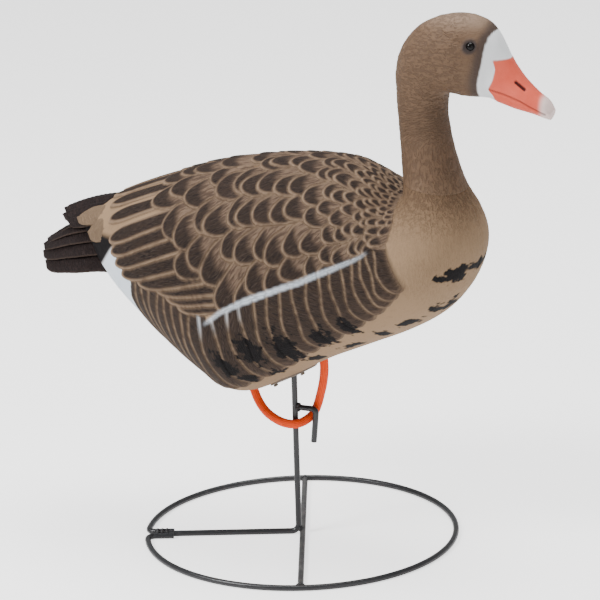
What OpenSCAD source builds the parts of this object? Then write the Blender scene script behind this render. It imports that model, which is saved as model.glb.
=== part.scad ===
// Full-body goose decoy that swivels and nods on a wire stake with a hoop base.
// Frame: +X is the way the goose faces, +Z is up, the origin is on the ground
// under the upright stake.

/* [Stand] */
// Diameter of the steel rod
rod_d = 6.35; // [5:0.05:7]
// Diameter of the hoop, to the middle of the rod
hoop_d = 336; // [300:1:380]
// How far the hoop's middle lies from the stake
hoop_shift = 3.2; // [2:0.1:5]
// Turn of the stand about the stake, in degrees
stand_turn = 23.5; // [-60:0.5:60]
// Height of the stake's tip, which is also the pivot
pivot_z = 345; // [335:1:355]
// Radius of the bend at the foot of the stake, to the middle of the rod
foot_bend = 8; // [7:0.5:9]

/* [Loop hook] */
// Height of the hook's arm
hook_z = 146; // [145:0.5:148]
// Reach of the hook from the stake
hook_reach = 24.5; // [24:0.5:27]
// Length of the hook's tail below the arm
hook_drop = 37; // [25:1:60]
// Inward lean of the tail, in degrees
hook_lean = 6; // [0:1:8]

/* [Elastic loop] */
// Diameter of the elastic cord
cord_d = 9.5; // [8:0.1:9.6]

/* [Shells] */
// How far the goose's outline is set ahead of the stake
goose_x = 3.5; // [2:0.5:5]
// Wall of the moulded body
body_wall = 2.6; // [2:0.1:3]
// Wall of the moulded head
head_wall = 2.4; // [2:0.1:3]
// Number of tail feathers
tail_count = 9; // [9:2:13]

/* [Pivot] */
// Radius of the ball at the top of the swivel cap
ball_r = 7; // [6.5:0.1:7]
// Radius of the socket's mouth under the belly
mouth_r = 17.5; // [17:0.1:18]

/* [Hidden] */

rod_r = rod_d / 2;
hoop_r = hoop_d / 2;
cord_r = cord_d / 2;
end_bend = 8;          // bend where the hoop's ends turn inwards
end_tail = 20;         // straight run of the hoop's ends beside the leg
tail_y = rod_d + 0.1;  // the hoop's ends lie this far from the middle of the leg
bar_shift = 4.2;       // the cross bar passes just outside the foot bend
hook_bend = 5;

steel_black = [0.10, 0.10, 0.11];
feather_brown = [0.42, 0.34, 0.27];
neck_brown = [0.40, 0.30, 0.24];
cord_orange = [0.95, 0.38, 0.12];
nylon_white = [0.85, 0.84, 0.80];

// The goose's outline in its middle plane, from the tail to the tip of the bill. Each row
// is one section: top x, top z, bottom x, bottom z, half width, height of the widest
// level as a share of the section.
GOOSE = [
    [-232, 352, -230, 304, 26, 0.5],
    [-210, 364, -206, 276, 50, 0.5],
    [-170, 382, -170, 244, 76, 0.5],
    [-127, 398, -130, 213, 94, 0.5],
    [-87, 411, -90, 182, 103, 0.5],
    [-47, 420, -54, 163, 106, 0.5],
    [-5, 426, -2, 184, 107, 0.5],
    [35, 429, 45, 210, 105, 0.48],
    [68, 427, 97, 233, 101, 0.46],
    [95, 415, 143, 254, 96, 0.44],
    [115, 402, 177, 275, 89, 0.44],
    [126, 397, 199, 300, 82, 0.46],
    [131, 397, 212, 326, 73, 0.48],
    [133, 399, 217, 352, 64, 0.5],
    [134, 404, 211, 380, 52, 0.5],
    [133, 417, 198, 406, 41, 0.5],   // seam between body and neck
    [131, 436, 189, 433, 33, 0.5],
    [129, 462, 182, 463, 29, 0.5],
    [127, 490, 179, 487, 28, 0.5],
    [126, 512, 180, 503, 29, 0.5],
    [126, 530, 182, 510, 31, 0.5],
    [131, 552, 187, 511, 33, 0.5],
    [143, 571, 193, 510, 35, 0.5],
    [160, 584, 200, 509, 36, 0.5],
    [182, 592, 207, 508, 36, 0.5],
    [205, 594, 215, 508, 33, 0.5],
    [224, 589, 223, 508, 28, 0.5],   // forehead
    [237, 578, 230, 507, 22, 0.5],
    [246, 562, 238, 504, 18, 0.5],   // root of the bill
    [254, 547, 248, 501, 15, 0.5],
    [266, 531, 260, 498, 13.5, 0.5],
    [280, 518, 275, 495, 12, 0.5],
    [291, 509, 287, 492, 10, 0.5],
    [297, 500, 294, 490, 5, 0.5]];
tail_end = 0;
seam = 15;
bill_root = 28;
bill_tip = 33;

// The tail is a tent-shaped fan: its middle feather lies highest
tail_root = [-200, 0, 330];
tail_tip = [-286, 0, 305];
tail_half = 34;        // half width at the tips
tail_droop = 20;       // the outer feathers lie this much lower
wing_root = [-205, 0, 354];
wing_tip = [-256, 0, 347];

eye_pos = [217, 25, 566];
eye_r = 5;

// Route of the elastic loop: tail of the rear knot, rear hole in the belly, round the
// near side of the stake, through the hook, round the far side of its tail, front hole,
// tail of the front knot.
CORD = [
    [-54, 0, 205], [-53, 0, 190], [-51.5, 0, 174], [-47.5, 0, 158], [-39.5, -3, 145.5],
    [-29, -6.5, 137], [-16, -9, 131.5], [-5, -9.8, 129.5], [4.5, -7.6, 129.5], [12, 0, 132],
    [18, 7.8, 138], [22.5, 9.8, 148.5], [27, 8.6, 162], [32, 5, 177],
    [35, 2, 192], [35.5, 0, 206], [34.5, 0, 220], [33.5, 0, 234], [33, 0, 248]];
rear_hole = [-49.5, 0, 165];
front_hole = [35.5, 0, 204];
hole_r = cord_r + 1.3;
knot_r = 8.6;

flange_r = 25.5;
flange_t = 2.2;
screw_ring = 22.6;
screw_head_r = 2.5;
screw_r = 1.2;
cone_wall = 2.4;
play = 0.4;            // clearance round the ball

// ---- curves and skins ----

function cr(a, b, c, d, t) = 0.5 * (2 * b + (c - a) * t
    + (2 * a - 5 * b + 4 * c - d) * t * t + (3 * b - a - 3 * c + d) * t * t * t);

// Point at parameter u on the smooth curve through the rows of a list
function along(rows, u) = let (n = len(rows) - 1, i = min(floor(u), n - 1))
    cr(rows[max(i - 1, 0)], rows[i], rows[i + 1], rows[min(i + 2, n)], u - i);

// One section of the goose as a ring of points, grown outwards by grow
function section(u, sides, grow) = let (
        s = along(GOOSE, u),
        top = [s[0] + goose_x, 0, s[1]], low = [s[2] + goose_x, 0, s[3]],
        dir = (top - low) / norm(top - low),
        mid = low + (top - low) * s[5],
        up = top + dir * grow - mid, down = mid - low + dir * grow)
    [for (k = [0 : sides - 1]) let (a = 360 * k / sides, c = cos(a))
        mid + (c >= 0 ? up : down) * c + [0, (s[4] + grow) * sin(a), 0]];

// Closed skin over a list of rings that have the same number of points
module skin(rings) {
    n = len(rings[0]);
    last = len(rings) - 1;
    polyhedron(
        points = [for (r = rings) each r],
        faces = concat(
            [[for (k = [n - 1 : -1 : 0]) k]],
            [for (i = [0 : last - 1], k = [0 : n - 1]) let (m = (k + 1) % n)
                [i * n + k, i * n + m, (i + 1) * n + m, (i + 1) * n + k]],
            [[for (k = [0 : n - 1]) last * n + k]]),
        convexity = 8);
}

module goose_part(from, to, per, sides, grow) {
    steps = ceil((to - from) * per);
    skin([for (i = [0 : steps]) section(from + (to - from) * i / steps, sides, grow)]);
}

// Height of the belly at a place under it
BELLY = [for (u = [4 : 0.1 : 9]) let (s = along(GOOSE, u)) [s[2] + goose_x, s[3]]];
function belly_z(x, y) = lookup(x, BELLY) + 118 * (1 - sqrt(1 - pow(y / 107, 2)));

// ---- rods ----

module rod(len, r = rod_r) cylinder(r = r, h = len, $fn = 48);

module rod_bend(radius, sweep, r = rod_r) rotate_extrude(angle = sweep, $fn = 96)
    translate([radius, 0]) circle(r = r, $fn = 48);

module stand_frame() rotate([0, 0, stand_turn]) children();

module hoop_solid(extra = 0) translate([hoop_shift, 0, rod_r]) rotate_extrude($fn = 180)
    translate([hoop_r, 0]) circle(r = rod_r + extra, $fn = 48);

// ---- stand ----

// Half of the gap in the hoop, where its ends turn inwards beside the leg
hoop_gap = asin((end_bend + tail_y) / (hoop_r - end_bend));

module ring_hoop() color(steel_black) stand_frame() translate([hoop_shift, 0, rod_r])
    rotate([0, 0, hoop_gap - 180]) rotate_extrude(angle = 360 - 2 * hoop_gap, $fn = 180)
        translate([hoop_r, 0]) circle(r = rod_r, $fn = 48);

module hoop_ends() color(steel_black) stand_frame() translate([hoop_shift, 0, rod_r])
    for (side = [0, 1]) mirror([0, side, 0])
        translate([-(hoop_r - end_bend) * cos(hoop_gap), -tail_y - end_bend, 0])
            rotate([0, 0, 90]) {
                rod_bend(end_bend, 89.9 + hoop_gap);
                translate([end_bend, 0, 0]) rotate([90, 0, 0]) rod(end_tail);
            }

leg_end = hoop_shift - hoop_r + end_bend;

module stake_rod() color(steel_black) stand_frame() {
    translate([leg_end, 0, rod_r]) rotate([0, 90, 0]) rod(-leg_end - foot_bend);
    translate([-foot_bend, 0, rod_r + foot_bend]) rotate([90, 0, 0]) rotate([0, 0, 270])
        rod_bend(foot_bend, 90);
    translate([0, 0, rod_r + foot_bend]) rod(pivot_z - rod_r - foot_bend);
}

bar_half = sqrt(pow(hoop_r - rod_r * 0.6, 2) - pow(bar_shift - hoop_shift, 2));

module cross_bar() color(steel_black) stand_frame() difference() {
    bar_rod(bar_half);
    hoop_solid(0.05);
}

module bar_rod(half) translate([bar_shift, -half, rod_r]) rotate([-90, 0, 0]) rod(2 * half);

module loop_hook() color(steel_black) {
    translate([rod_r + 0.05, 0, hook_z]) rotate([0, 90, 0])
        rod(hook_reach - hook_bend - rod_r + 0.25, rod_r - 0.05);
    translate([hook_reach - hook_bend, 0, hook_z - hook_bend]) rotate([90, 0, 0])
        rotate([0, 0, -hook_lean]) {
            rod_bend(hook_bend, 90 + hook_lean);
            translate([hook_bend, 0, 0]) rotate([90, 0, 0]) rod(hook_drop - hook_bend);
        }
}

module bead(r) sphere(r = r, $fn = 24);

module weld_foot() color(steel_black) difference() {
    stand_frame() for (side = [-1, 0, 1])
        translate([1.5, side * 2.9, rod_d + 1 - 1.3 * abs(side)]) bead(2.7);
    stake_rod();
    cross_bar();
}

module weld_hook() color(steel_black) difference() {
    for (a = [0 : 45 : 315])
        translate([rod_r + 0.9, 3.3 * cos(a), hook_z + 3.3 * sin(a)]) bead(1.9);
    translate([0, 0, hook_z]) rotate([0, 90, 0]) rod(12);
    translate([0, 0, hook_z - 20]) rod(40);
}

module weld_hoop_ends() color(steel_black) stand_frame() difference() {
    for (side = [-1, 1], i = [0 : 2])
        translate([leg_end + 3 + i * 5, side * 3.3, rod_d - 0.55]) bead(2.45);
    for (y = [-tail_y, 0, tail_y])
        translate([leg_end - 10, y, rod_r]) rotate([0, 90, 0]) rod(40);
    translate([leg_end - 10, -10, 0]) cube([40, 20, rod_d - 1.7]);
}

module weld_bar_ends() color(steel_black) difference() {
    stand_frame() for (side = [-1, 1], across = [-1, 0, 1])
        translate([bar_shift + across * 2.4, side * (hoop_r - rod_r - 0.3),
            rod_d - 0.9 - abs(across)]) bead(2.5);
    stand_frame() {
        bar_rod(bar_half + 10);
        hoop_solid();
    }
}

module swivel_cap() color(nylon_white) translate([0, 0, pivot_z]) difference() {
    union() {
        sphere(r = ball_r, $fn = 64);
        translate([0, 0, -24]) cylinder(r = ball_r - 0.8, h = 24, $fn = 64);
    }
    translate([0, 0, -25]) cylinder(r = rod_r + 0.08, h = 25.1, $fn = 48);
}

// ---- decoy ----

// One flat feather from root to tip, as a hull of two flattened balls
module feather(root, tip, width, thick) hull() {
    translate(root) scale([1, width * 0.6 / thick, 1]) sphere(d = thick, $fn = 10);
    translate(tip) scale([1.6, width / thick, 0.7]) sphere(d = thick, $fn = 16);
}

module tail_fan() for (i = [0 : tail_count - 1]) {
    side = i / (tail_count - 1) * 2 - 1;
    feather(tail_root + [8 * abs(side), side * 24, -tail_droop * pow(side, 2)],
        tail_tip + [26 * pow(side, 2), side * tail_half, -tail_droop * pow(side, 2)], 17, 9);
}

module wing_tips() for (side = [-1, 1], i = [0 : 2])
    feather(wing_root + [0, side * (3 + 6 * i), -4 * i],
        wing_tip + [8 * i, side * (4 + 5 * i), -4 * i], 13, 9);

module body_shell() color(feather_brown) difference() {
    union() {
        goose_part(tail_end, seam, 2.6, 40, 0);
        translate([goose_x, 0, 0]) {
            tail_fan();
            wing_tips();
        }
    }
    goose_part(0.2, seam + 0.6, 1.6, 28, -body_wall);
    translate([0, 0, 150]) cylinder(r = mouth_r + cone_wall + 0.15, h = 80, $fn = 40);
    for (place = [rear_hole, front_hole])
        translate(place - [0, 0, 12]) cylinder(r = hole_r, h = 24, $fn = 24);
    for (i = [0 : 3]) at_screw(i) translate([0, 0, -6]) cylinder(r = screw_r + 0.1, h = 12, $fn = 12);
}

module head_shell() color(neck_brown) difference() {
    union() {
        difference() {
            goose_part(seam, bill_tip, 2.6, 28, 0);
            goose_part(seam - 0.2, bill_root, 1.6, 22, -head_wall);
        }
        neck_spigot();
    }
    for (side = [-1, 1]) at_eye(side) sphere(r = eye_r + 0.1, $fn = 24);
}

// Sleeve that plugs the head into the body's neck
module neck_spigot() difference() {
    skin([[for (p = section(seam, 28, -body_wall - 0.9)) p + [1.5, 0, -16]],
        section(seam, 28, -body_wall - 0.9), section(seam + 0.5, 28, -1)]);
    skin([[for (p = section(seam, 28, -body_wall - 3)) p + [1.6, 0, -17]],
        section(seam, 28, -body_wall - 3), section(seam + 0.6, 28, -body_wall - 3)]);
}

module at_eye(side) translate([eye_pos[0] + goose_x, side * eye_pos[1], eye_pos[2]])
    children();

module eye(side) color("black") at_eye(side) sphere(r = eye_r, $fn = 48);

module eye_left() eye(1);

module eye_right() eye(-1);

// Places its children on the belly at one of the four screws, with +Z outwards
module at_screw(i) {
    a = 45 + 90 * i;
    x = screw_ring * cos(a);
    y = screw_ring * sin(a);
    slope_x = (belly_z(x + 2, y) - belly_z(x - 2, y)) / 4;
    slope_y = (belly_z(x, y + 2) - belly_z(x, y - 2)) / 4;
    translate([x, y, belly_z(x, y)]) rotate([atan(-slope_y) + 180, -atan(slope_x), 0]) children();
}

module socket_screws() color("silver") for (i = [0 : 3]) at_screw(i) {
    translate([0, 0, flange_t]) cylinder(r = screw_head_r, h = 1.6, $fn = 32);
    translate([0, 0, -7]) cylinder(r = screw_r, h = 7 + flange_t, $fn = 24);
}

// Inside of the socket: a cone that opens downwards from the cup round the ball
module socket_bore() {
    translate([0, 0, 140]) cylinder(r = mouth_r, h = 60, $fn = 40);
    translate([0, 0, 200]) cylinder(r1 = mouth_r, r2 = ball_r + 1.6, h = pivot_z - 207, $fn = 40);
    translate([0, 0, pivot_z - 7.01]) cylinder(r1 = ball_r + 1.6, r2 = ball_r + play, h = 7.02, $fn = 40);
    translate([0, 0, pivot_z]) sphere(r = ball_r + play, $fn = 40);
}

module socket_cone() color(feather_brown) difference() {
    union() {
        intersection() {
            translate([0, 0, 140]) cylinder(r = mouth_r + cone_wall, h = 65, $fn = 40);
            goose_part(4, 8, 2.6, 40, flange_t);
        }
        translate([0, 0, 200]) cylinder(r1 = mouth_r + cone_wall, r2 = ball_r + 4,
            h = pivot_z - 207, $fn = 40);
        translate([0, 0, pivot_z - 7.01]) cylinder(r = ball_r + 4, h = 10, $fn = 40);
        translate([0, 0, pivot_z + 2]) sphere(r = ball_r + 4, $fn = 40);
        intersection() {
            translate([0, 0, 140]) cylinder(r = flange_r, h = 100, $fn = 40);
            difference() {
                goose_part(4, 8, 2.6, 40, flange_t);
                goose_part(4, 8, 2.6, 40, 0.05);
            }
        }
        for (i = [0 : 7]) rotate([0, 0, 45 * i + 22.5]) hull() {
            translate([mouth_r, -1, 214]) cube([8, 2, 1]);
            translate([ball_r + 2, -1, 320]) cube([1.5, 2, 1]);
        }
    }
    socket_bore();
    for (i = [0 : 3]) at_screw(i) {
        translate([0, 0, -6]) cylinder(r = screw_r + 0.1, h = 14, $fn = 12);
        translate([0, 0, flange_t]) cylinder(r = screw_head_r + 0.1, h = 6, $fn = 16);
    }
}

// ---- elastic loop ----

function cord_ring(u) = let (
        p = along(CORD, u),
        ahead = along(CORD, min(u + 0.05, len(CORD) - 1)),
        behind = along(CORD, max(u - 0.05, 0)),
        t = (ahead - behind) / norm(ahead - behind),
        c = cross([0, 1, 0], t), n1 = c / norm(c), n2 = cross(t, n1))
    [for (k = [0 : 9]) p + cord_r * (n1 * cos(36 * k) + n2 * sin(36 * k))];

module cord_loop() color(cord_orange)
    skin([for (u = [0 : 1 / 3 : len(CORD) - 1]) cord_ring(u)]);

// Overhand knot drawn up tight round the cord, just inside the belly
module knot(place, lean) color(cord_orange) translate(place) rotate([0, lean, 0]) difference() {
    scale([1, 1, 0.9]) sphere(r = knot_r, $fn = 32);
    translate([0, 0, -20]) cylinder(r = cord_r + 0.5, h = 40, $fn = 32);
}

module knot_front() knot([34, 0, 226], -4.1);

module knot_rear() knot([-52.3, 0, 184], -5.4);

ring_hoop();
hoop_ends();
stake_rod();
cross_bar();
loop_hook();
weld_foot();
weld_hook();
weld_hoop_ends();
weld_bar_ends();
swivel_cap();
body_shell();
head_shell();
eye_left();
eye_right();
socket_cone();
socket_screws();
cord_loop();
knot_front();
knot_rear();
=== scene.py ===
"""Moulded goose decoy that swivels and nods on a wire stake with a hoop base."""
import math

import bpy
import numpy as np
from mathutils import Matrix, Vector, noise


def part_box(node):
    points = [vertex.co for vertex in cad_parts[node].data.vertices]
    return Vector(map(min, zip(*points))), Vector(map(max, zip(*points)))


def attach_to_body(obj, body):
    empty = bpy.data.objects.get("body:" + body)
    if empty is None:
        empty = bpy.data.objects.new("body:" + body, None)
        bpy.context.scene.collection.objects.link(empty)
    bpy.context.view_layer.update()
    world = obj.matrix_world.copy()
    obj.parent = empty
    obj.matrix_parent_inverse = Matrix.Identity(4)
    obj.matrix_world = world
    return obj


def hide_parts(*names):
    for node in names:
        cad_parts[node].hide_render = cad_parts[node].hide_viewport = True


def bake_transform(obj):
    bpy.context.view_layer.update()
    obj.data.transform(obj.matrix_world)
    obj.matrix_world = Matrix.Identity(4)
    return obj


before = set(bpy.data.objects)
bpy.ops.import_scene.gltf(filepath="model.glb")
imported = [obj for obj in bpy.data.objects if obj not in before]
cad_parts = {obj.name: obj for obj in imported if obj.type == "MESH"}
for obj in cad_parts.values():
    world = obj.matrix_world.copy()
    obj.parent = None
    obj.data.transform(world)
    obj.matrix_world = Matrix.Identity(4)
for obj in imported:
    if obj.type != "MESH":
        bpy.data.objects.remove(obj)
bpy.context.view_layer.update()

MM = 0.001
ROD_R = 3.175 * MM
HOOP_LOW, HOOP_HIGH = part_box("ring_hoop")
HOOP_MIDDLE = (Vector(HOOP_LOW) + Vector(HOOP_HIGH)) / 2
HOOP_R = (HOOP_HIGH[1] - HOOP_LOW[1]) / 2 - ROD_R
STAND_TURN = math.radians(23.5)


# ---- camera ----

CAMERA_AZIMUTH = math.radians(25)
CAMERA_HEIGHT = math.radians(20.84)  # elevation of the camera seen from the hoop's middle
CAMERA_DISTANCE = 4.0428
CAMERA_TILT = math.radians(17.277)  # elevation of the optical axis
CAMERA_ROLL = math.radians(1.73)
CAMERA_PAN = math.radians(0.08425)  # turn of the optical axis away from the hoop's middle
LENS_PER_WIDTH = 6.1725  # focal length as a share of the picture's width
SENSOR = 36.0


def toward(azimuth, elevation):
    """Direction at an azimuth from the right-hand side and an elevation."""
    level = math.cos(elevation)
    return Vector((math.sin(azimuth) * level, -math.cos(azimuth) * level, math.sin(elevation)))


def place_camera():
    """A long lens from the front right and a little above the goose, rolled slightly."""
    back = toward(CAMERA_AZIMUTH, CAMERA_HEIGHT)
    turn = CAMERA_AZIMUTH - CAMERA_PAN
    ahead = -toward(turn, CAMERA_TILT)
    right = Vector((math.cos(turn), math.sin(turn), 0))
    up = right.cross(ahead)
    c, s = math.cos(CAMERA_ROLL), math.sin(CAMERA_ROLL)
    camera = bpy.data.objects.new("camera", bpy.data.cameras.new("camera"))
    camera.data.sensor_width = SENSOR
    camera.data.lens = LENS_PER_WIDTH * SENSOR
    camera.data.clip_end = 30
    axes = Matrix((right * c - up * s, up * c + right * s, -ahead)).transposed()
    camera.matrix_world = Matrix.Translation(HOOP_MIDDLE + CAMERA_DISTANCE * back) @ axes.to_4x4()
    bpy.context.scene.collection.objects.link(camera)
    bpy.context.scene.camera = camera


place_camera()


# ---- curves and meshes ----

def along(rows, u):
    """Points at the parameters u on the smooth curve through the rows."""
    rows = np.asarray(rows, float)
    u = np.atleast_1d(np.asarray(u, float))
    n = len(rows) - 1
    i = np.clip(np.floor(u).astype(int), 0, n - 1)
    t = (u - i)[:, None]
    a, b, c, d = rows[np.maximum(i - 1, 0)], rows[i], rows[i + 1], rows[np.minimum(i + 2, n)]
    return 0.5 * (2 * b + (c - a) * t + (2 * a - 5 * b + 4 * c - d) * t ** 2
                  + (3 * b - a - 3 * c + d) * t ** 3)


def step(low, high, x):
    """Smooth rise from 0 at low to 1 at high."""
    t = np.clip((np.asarray(x, float) - low) / (high - low), 0, 1)
    return t * t * (3 - 2 * t)


def unit(v):
    v = np.asarray(v, float)
    return v / np.maximum(np.linalg.norm(v, axis=-1, keepdims=True), 1e-12)


def ripple(points, scale, offset=0.0):
    """Soft noise from -1 to 1 at each point, with features about scale in size."""
    shift = Vector((offset, 2 * offset, 3 * offset))
    return np.array([noise.noise(Vector(p) / scale + shift) for p in points.reshape(-1, 3)]
                    ).reshape(points.shape[:-1])


def mesh_object(name, vertices, faces, flat=0, edges=()):
    """A smooth-shaded piece at the origin, its last faces flat."""
    mesh = bpy.data.meshes.new(name)
    mesh.from_pydata(np.asarray(vertices).reshape(-1, 3).tolist(), edges, faces)
    mesh.update()
    mesh.shade_smooth()
    for face in mesh.polygons[len(faces) - flat:]:
        face.use_smooth = False
    piece = bpy.data.objects.new(name, mesh)
    bpy.context.scene.collection.objects.link(piece)
    return piece


def grid_faces(rows, columns, closed):
    """Quads of a grid of points, row by row; closed joins the last column to the first."""
    i = np.arange(rows - 1)[:, None] * columns
    j = np.arange(columns if closed else columns - 1)[None]
    k = (j + 1) % columns
    return np.stack([i + j, i + k, i + columns + k, i + columns + j], -1).reshape(-1, 4).tolist()


def attach(piece, name, values, kind="FLOAT"):
    attribute = piece.data.attributes.new(name, kind, "POINT")
    key = "vector" if kind == "FLOAT_VECTOR" else "value"
    attribute.data.foreach_set(key, np.asarray(values, np.float32).reshape(-1))


# ---- material helpers ----

def colour(red, green, blue):
    """Linear colour with alpha from 0-255 display values."""
    shares = [v / 255 for v in (red, green, blue)]
    return tuple(((v + 0.055) / 1.055) ** 2.4 if v > 0.04 else v / 12.92 for v in shares) + (1,)


class Nodes:
    """Adds nodes to a tree and links them by socket."""

    def __init__(self, tree):
        self.tree = tree

    def add(self, kind, inputs=None, **settings):
        made = self.tree.nodes.new(kind)
        for key, value in settings.items():
            setattr(made, key, value)
        for key, value in (inputs or {}).items():
            self.feed(made.inputs[key], value)
        return made

    def feed(self, socket, value):
        if isinstance(value, bpy.types.NodeSocket):
            self.tree.links.new(value, socket)
        else:
            socket.default_value = value

    def math(self, operation, a, b=0.0):
        return self.add("ShaderNodeMath", {0: a, 1: b}, operation=operation).outputs[0]

    def plus(self, a, b):
        return self.math("ADD", a, b)

    def times(self, a, b):
        return self.math("MULTIPLY", a, b)

    def mix(self, factor, a, b):
        return self.add("ShaderNodeMix", {0: factor, 6: a, 7: b}, data_type="RGBA",
                        clamp_factor=True).outputs[2]

    def attribute(self, name):
        made = self.add("ShaderNodeAttribute", attribute_name=name, attribute_type="GEOMETRY")
        return made.outputs["Vector"] if name == "barb" else made.outputs["Fac"]

    def object_coordinates(self):
        return self.add("ShaderNodeTexCoord").outputs["Object"]

    def noise(self, vector, scale, detail=3.0, roughness=0.55):
        return self.add("ShaderNodeTexNoise", {"Vector": vector, "Scale": scale, "Detail": detail,
                                               "Roughness": roughness}).outputs["Fac"]

    def rise(self, value, low, high):
        return self.add("ShaderNodeMapRange", {"Value": value, "From Min": low, "From Max": high},
                        interpolation_type="SMOOTHSTEP").outputs["Result"]

    def stretch(self, vector, scale):
        return self.add("ShaderNodeMapping", {"Vector": vector, "Scale": scale}).outputs["Vector"]

    def seen(self, plain, to_camera):
        """One strength for rays of light, another for the camera's own rays."""
        camera = self.add("ShaderNodeLightPath").outputs["Is Camera Ray"]
        return self.plus(plain, self.times(camera, to_camera - plain))


def effect(name, inputs, outputs):
    """An empty shader node group with the named sockets, its Nodes, its input and output nodes."""
    group = bpy.data.node_groups.new(name, "ShaderNodeTree")
    for label, kind in inputs:
        group.interface.new_socket(label, in_out="INPUT", socket_type="NodeSocket" + kind)
    for label, kind in outputs:
        group.interface.new_socket(label, in_out="OUTPUT", socket_type="NodeSocket" + kind)
    nodes = Nodes(group)
    return group, nodes, nodes.add("NodeGroupInput"), nodes.add("NodeGroupOutput")


def make_mottle():
    """Lightens and darkens a colour in soft sprayed clouds and fine specks."""
    group, n, given, put = effect("Sprayed mottle", [
        ("Colour", "Color"), ("Vector", "Vector"),
        ("Cloud scale", "Float"), ("Speck scale", "Float"),
        ("Strength", "Float")], [("Colour", "Color")])
    cloud = n.noise(given.outputs["Vector"], given.outputs["Cloud scale"], 4.0)
    speck = n.noise(given.outputs["Vector"], given.outputs["Speck scale"], 2.0, 0.7)
    both = n.plus(n.times(cloud, 0.6), n.times(speck, 0.4))
    signed = n.times(n.math("SUBTRACT", both, 0.5), given.outputs["Strength"])
    level = n.plus(signed, 1.0)
    scaled = n.add("ShaderNodeVectorMath", {0: given.outputs["Colour"], 3: level}, operation="SCALE")
    n.feed(put.inputs["Colour"], scaled.outputs[0])
    return group


def make_grain():
    """Height of a moulded skin: fine pebbles over slow waves."""
    group, n, given, put = effect("Moulded grain", [
        ("Vector", "Vector"), ("Pebble scale", "Float"),
        ("Wave scale", "Float")], [("Height", "Float")])
    pebble = n.noise(given.outputs["Vector"], given.outputs["Pebble scale"], 2.0, 0.6)
    wave = n.noise(given.outputs["Vector"], given.outputs["Wave scale"], 2.0)
    n.feed(put.inputs["Height"], n.plus(n.times(pebble, 0.6), wave))
    return group


def make_barbs():
    """Hair-fine painted streaks: fast along the first coordinate of Barb, slow along the second."""
    group, n, given, put = effect("Painted barbs", [
        ("Barb", "Vector"), ("Fineness", "Float")], [("Streak", "Float")])
    fast = n.add("ShaderNodeVectorMath", {0: given.outputs["Barb"], 3: given.outputs["Fineness"]},
                 operation="SCALE").outputs[0]
    streaks = n.noise(n.stretch(fast, (1.0, 0.16, 1.0)), 1.0, 3.0, 0.6)
    n.feed(put.inputs["Streak"], n.rise(streaks, 0.38, 0.62))
    return group


def make_creases():
    """Fine folds of moulded down, darkened into a colour as painted shade in each fold; Crease is 0 in a
    fold and 1 between folds.
    """
    group, n, given, put = effect("Creased down, painted shade", [
        ("Colour", "Color"), ("Barb", "Vector"), ("Depth", "Float")],
        [("Colour", "Color"), ("Crease", "Float")])
    folds = n.add("ShaderNodeTexNoise", {"Vector": given.outputs["Barb"], "Scale": 0.42, "Detail": 2.0,
                                         "Roughness": 0.5, "Distortion": 0.8}).outputs["Fac"]
    crease = n.rise(folds, 0.40, 0.56)
    # painted shade: the colour taken half-way to dark brown, laid into the folds below
    shade = n.mix(0.5, given.outputs["Colour"], colour(58, 43, 34))
    folded = n.mix(crease, shade, given.outputs["Colour"])
    n.feed(put.inputs["Colour"], n.mix(given.outputs["Depth"], given.outputs["Colour"], folded))
    n.feed(put.inputs["Crease"], crease)
    return group


MOTTLE = make_mottle()
GRAIN = make_grain()
BARBS = make_barbs()
CREASES = make_creases()


class Finish(Nodes):
    """A material with a Principled shader, its constants set on the shader's own sockets."""

    def __init__(self, name, **constants):
        self.material = bpy.data.materials.new(name)
        self.material.use_nodes = True
        super().__init__(self.material.node_tree)
        self.shader = self.tree.nodes["Principled BSDF"]
        for key, value in constants.items():
            self.shader.inputs[key.replace("_", " ")].default_value = value

    def mottle(self, base, cloud, speck, strength):
        return self.add("ShaderNodeGroup", {
            "Colour": base, "Vector": self.object_coordinates(), "Cloud scale": cloud,
            "Speck scale": speck, "Strength": strength}, node_tree=MOTTLE).outputs[0]

    def grain(self, pebble, wave):
        return self.add("ShaderNodeGroup", {
            "Vector": self.object_coordinates(), "Pebble scale": pebble,
            "Wave scale": wave}, node_tree=GRAIN).outputs[0]

    def barbs(self, fineness):
        return self.add("ShaderNodeGroup", {
            "Barb": self.attribute("barb"), "Fineness": fineness}, node_tree=BARBS).outputs[0]

    def creases(self, base, depth):
        made = self.add("ShaderNodeGroup", {
            "Colour": base, "Barb": self.attribute("barb"), "Depth": depth}, node_tree=CREASES)
        return made.outputs["Colour"], made.outputs["Crease"]

    def bump(self, height, distance, strength=1.0):
        made = self.add("ShaderNodeBump", {"Height": height, "Distance": distance, "Strength": strength})
        self.feed(self.shader.inputs["Normal"], made.outputs[0])

    def paint(self, base):
        self.feed(self.shader.inputs["Base Color"], base)

    def rough(self, base, by, mask):
        """Roughness of base plus by times the mask."""
        self.feed(self.shader.inputs["Roughness"], self.plus(self.times(mask, by), base))

    def clouds(self, scale, detail=3.0, roughness=0.55):
        """Noise that lies still on the piece."""
        return self.noise(self.object_coordinates(), scale, detail, roughness)


def steel_finish():
    """Black coated rod, semi-gloss, with dull grey scuffs."""
    f = Finish("coated_steel", Coat_Weight=0.15, Coat_Roughness=0.3)
    scuff = f.rise(f.noise(f.stretch(f.object_coordinates(), (1, 1, 0.35)), 90.0, 5.0, 0.7), 0.62, 0.78)
    f.paint(f.mix(scuff, f.mottle(colour(31, 31, 34), 30.0, 400.0, 0.5), colour(74, 72, 72)))
    f.rough(0.34, 0.25, scuff)
    f.bump(f.grain(900.0, 160.0), 0.0003)
    return f.material


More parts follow.
